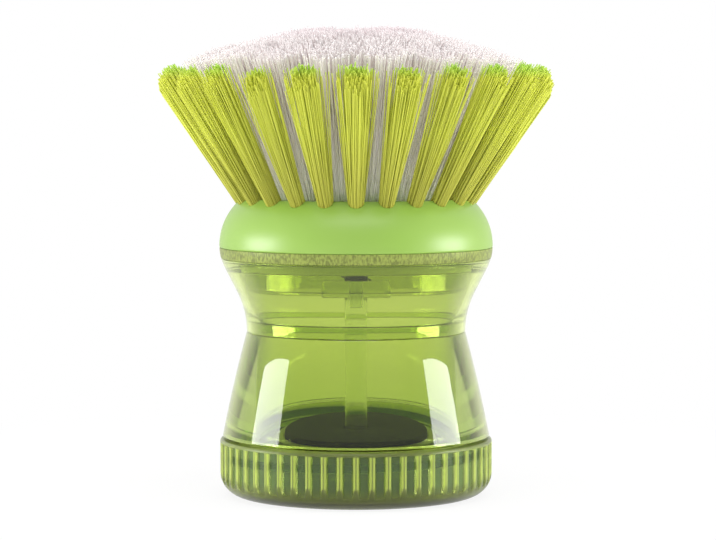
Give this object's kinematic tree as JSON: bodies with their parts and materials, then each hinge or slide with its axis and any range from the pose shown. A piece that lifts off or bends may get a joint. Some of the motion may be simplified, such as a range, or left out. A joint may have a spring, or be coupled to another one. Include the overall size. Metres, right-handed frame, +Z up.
{
  "type": "dish brush",
  "caption": "Palm dish brush with a clear screw-capped soap reservoir, a push-button valve and a round head of flared green and white bristle tufts, standing on its ribbed cap.",
  "frame": {"origin": "centre of the cap's base, on the surface that the brush stands on", "axes": "+Z up the axis of the brush, from the screw cap to the bristle tips"},
  "size_m": [0.0806, 0.0806, 0.0959],
  "materials": {
    "clear_green_cap": "clear tinted moulded plastic, polished, with fine grip ribs",
    "clear_green_shell": "clear tinted moulded plastic, polished",
    "clear_green_plate": "clear tinted moulded plastic, lightly frosted underneath",
    "green_head": "opaque light green moulded plastic, glossy",
    "green_bristle": "drawn nylon filament, yellow-green",
    "white_bristle": "drawn nylon filament, milky white",
    "anchor_wire": "flat drawn wire",
    "soft_seal": "matte silicone",
    "milky_stem": "milky translucent moulded plastic",
    "black_rubber": "matte rubber",
    "spring_wire": "bright drawn spring wire",
    "black_button": "fine matte moulded plastic",
    "black_lid": "glossy moulded plastic"
  },
  "bodies": {
    "cap": {"screw_cap": "clear_green_cap"},
    "neck_seal": {"cap_gasket": "soft_seal"},
    "reservoir": {"lower_body": "clear_green_shell", "upper_body": "clear_green_shell", "valve_plate": "clear_green_plate", "plate_seal": "soft_seal", "brush_head": "green_head", "green_tuft_01": "green_bristle", "green_tuft_02": "green_bristle", "green_tuft_03": "green_bristle", "green_tuft_04": "green_bristle", "green_tuft_05": "green_bristle", "green_tuft_06": "green_bristle", "green_tuft_07": "green_bristle", "green_tuft_08": "green_bristle", "green_tuft_09": "green_bristle", "green_tuft_10": "green_bristle", "green_tuft_11": "green_bristle", "green_tuft_12": "green_bristle", "green_tuft_13": "green_bristle", "green_tuft_14": "green_bristle", "green_tuft_15": "green_bristle", "green_tuft_16": "green_bristle", "green_tuft_17": "green_bristle", "green_tuft_18": "green_bristle", "green_tuft_19": "green_bristle", "green_tuft_20": "green_bristle", "green_tuft_21": "green_bristle", "green_tuft_22": "green_bristle", "green_tuft_23": "green_bristle", "green_tuft_24": "green_bristle", "white_tufts_outer": "white_bristle", "white_tufts_middle": "white_bristle", "white_tufts_inner": "white_bristle", "green_anchors": "anchor_wire", "white_anchors": "anchor_wire", "return_spring": "spring_wire"},
    "button": {"push_button": "black_button", "button_lid": "black_lid", "button_seal": "black_rubber"},
    "stem": {"push_stem": "milky_stem", "valve_plug": "black_rubber"}
  },
  "joints": [
    {"name": "reservoir_rise", "type": "slide", "parent": "cap", "child": "neck_seal", "axis": [0, 0, 1], "range_m": [0, 0.0045]},
    {"name": "reservoir_turn", "type": "hinge", "parent": "neck_seal", "child": "reservoir", "pos_m": [0, 0, 0.012], "axis": [0, 0, 1], "range_deg": [0, 544]},
    {"name": "button_press", "type": "slide", "parent": "cap", "child": "button", "axis": [0, 0, 1], "range_m": [0, 0.002], "stiffness_N_per_m": 600, "springref_m": -0.002},
    {"name": "stem_lift", "type": "slide", "parent": "reservoir", "child": "stem", "axis": [0, 0, 1], "range_m": [0, 0.0021], "deforming": ["return_spring"]}
  ],
  "couplings": [
    {"joint": "reservoir_turn", "follows": "reservoir_rise", "rad_per_m": 2094.4},
    {"joint": "stem_lift", "follows": "button_press", "ratio": 1}
  ]
}
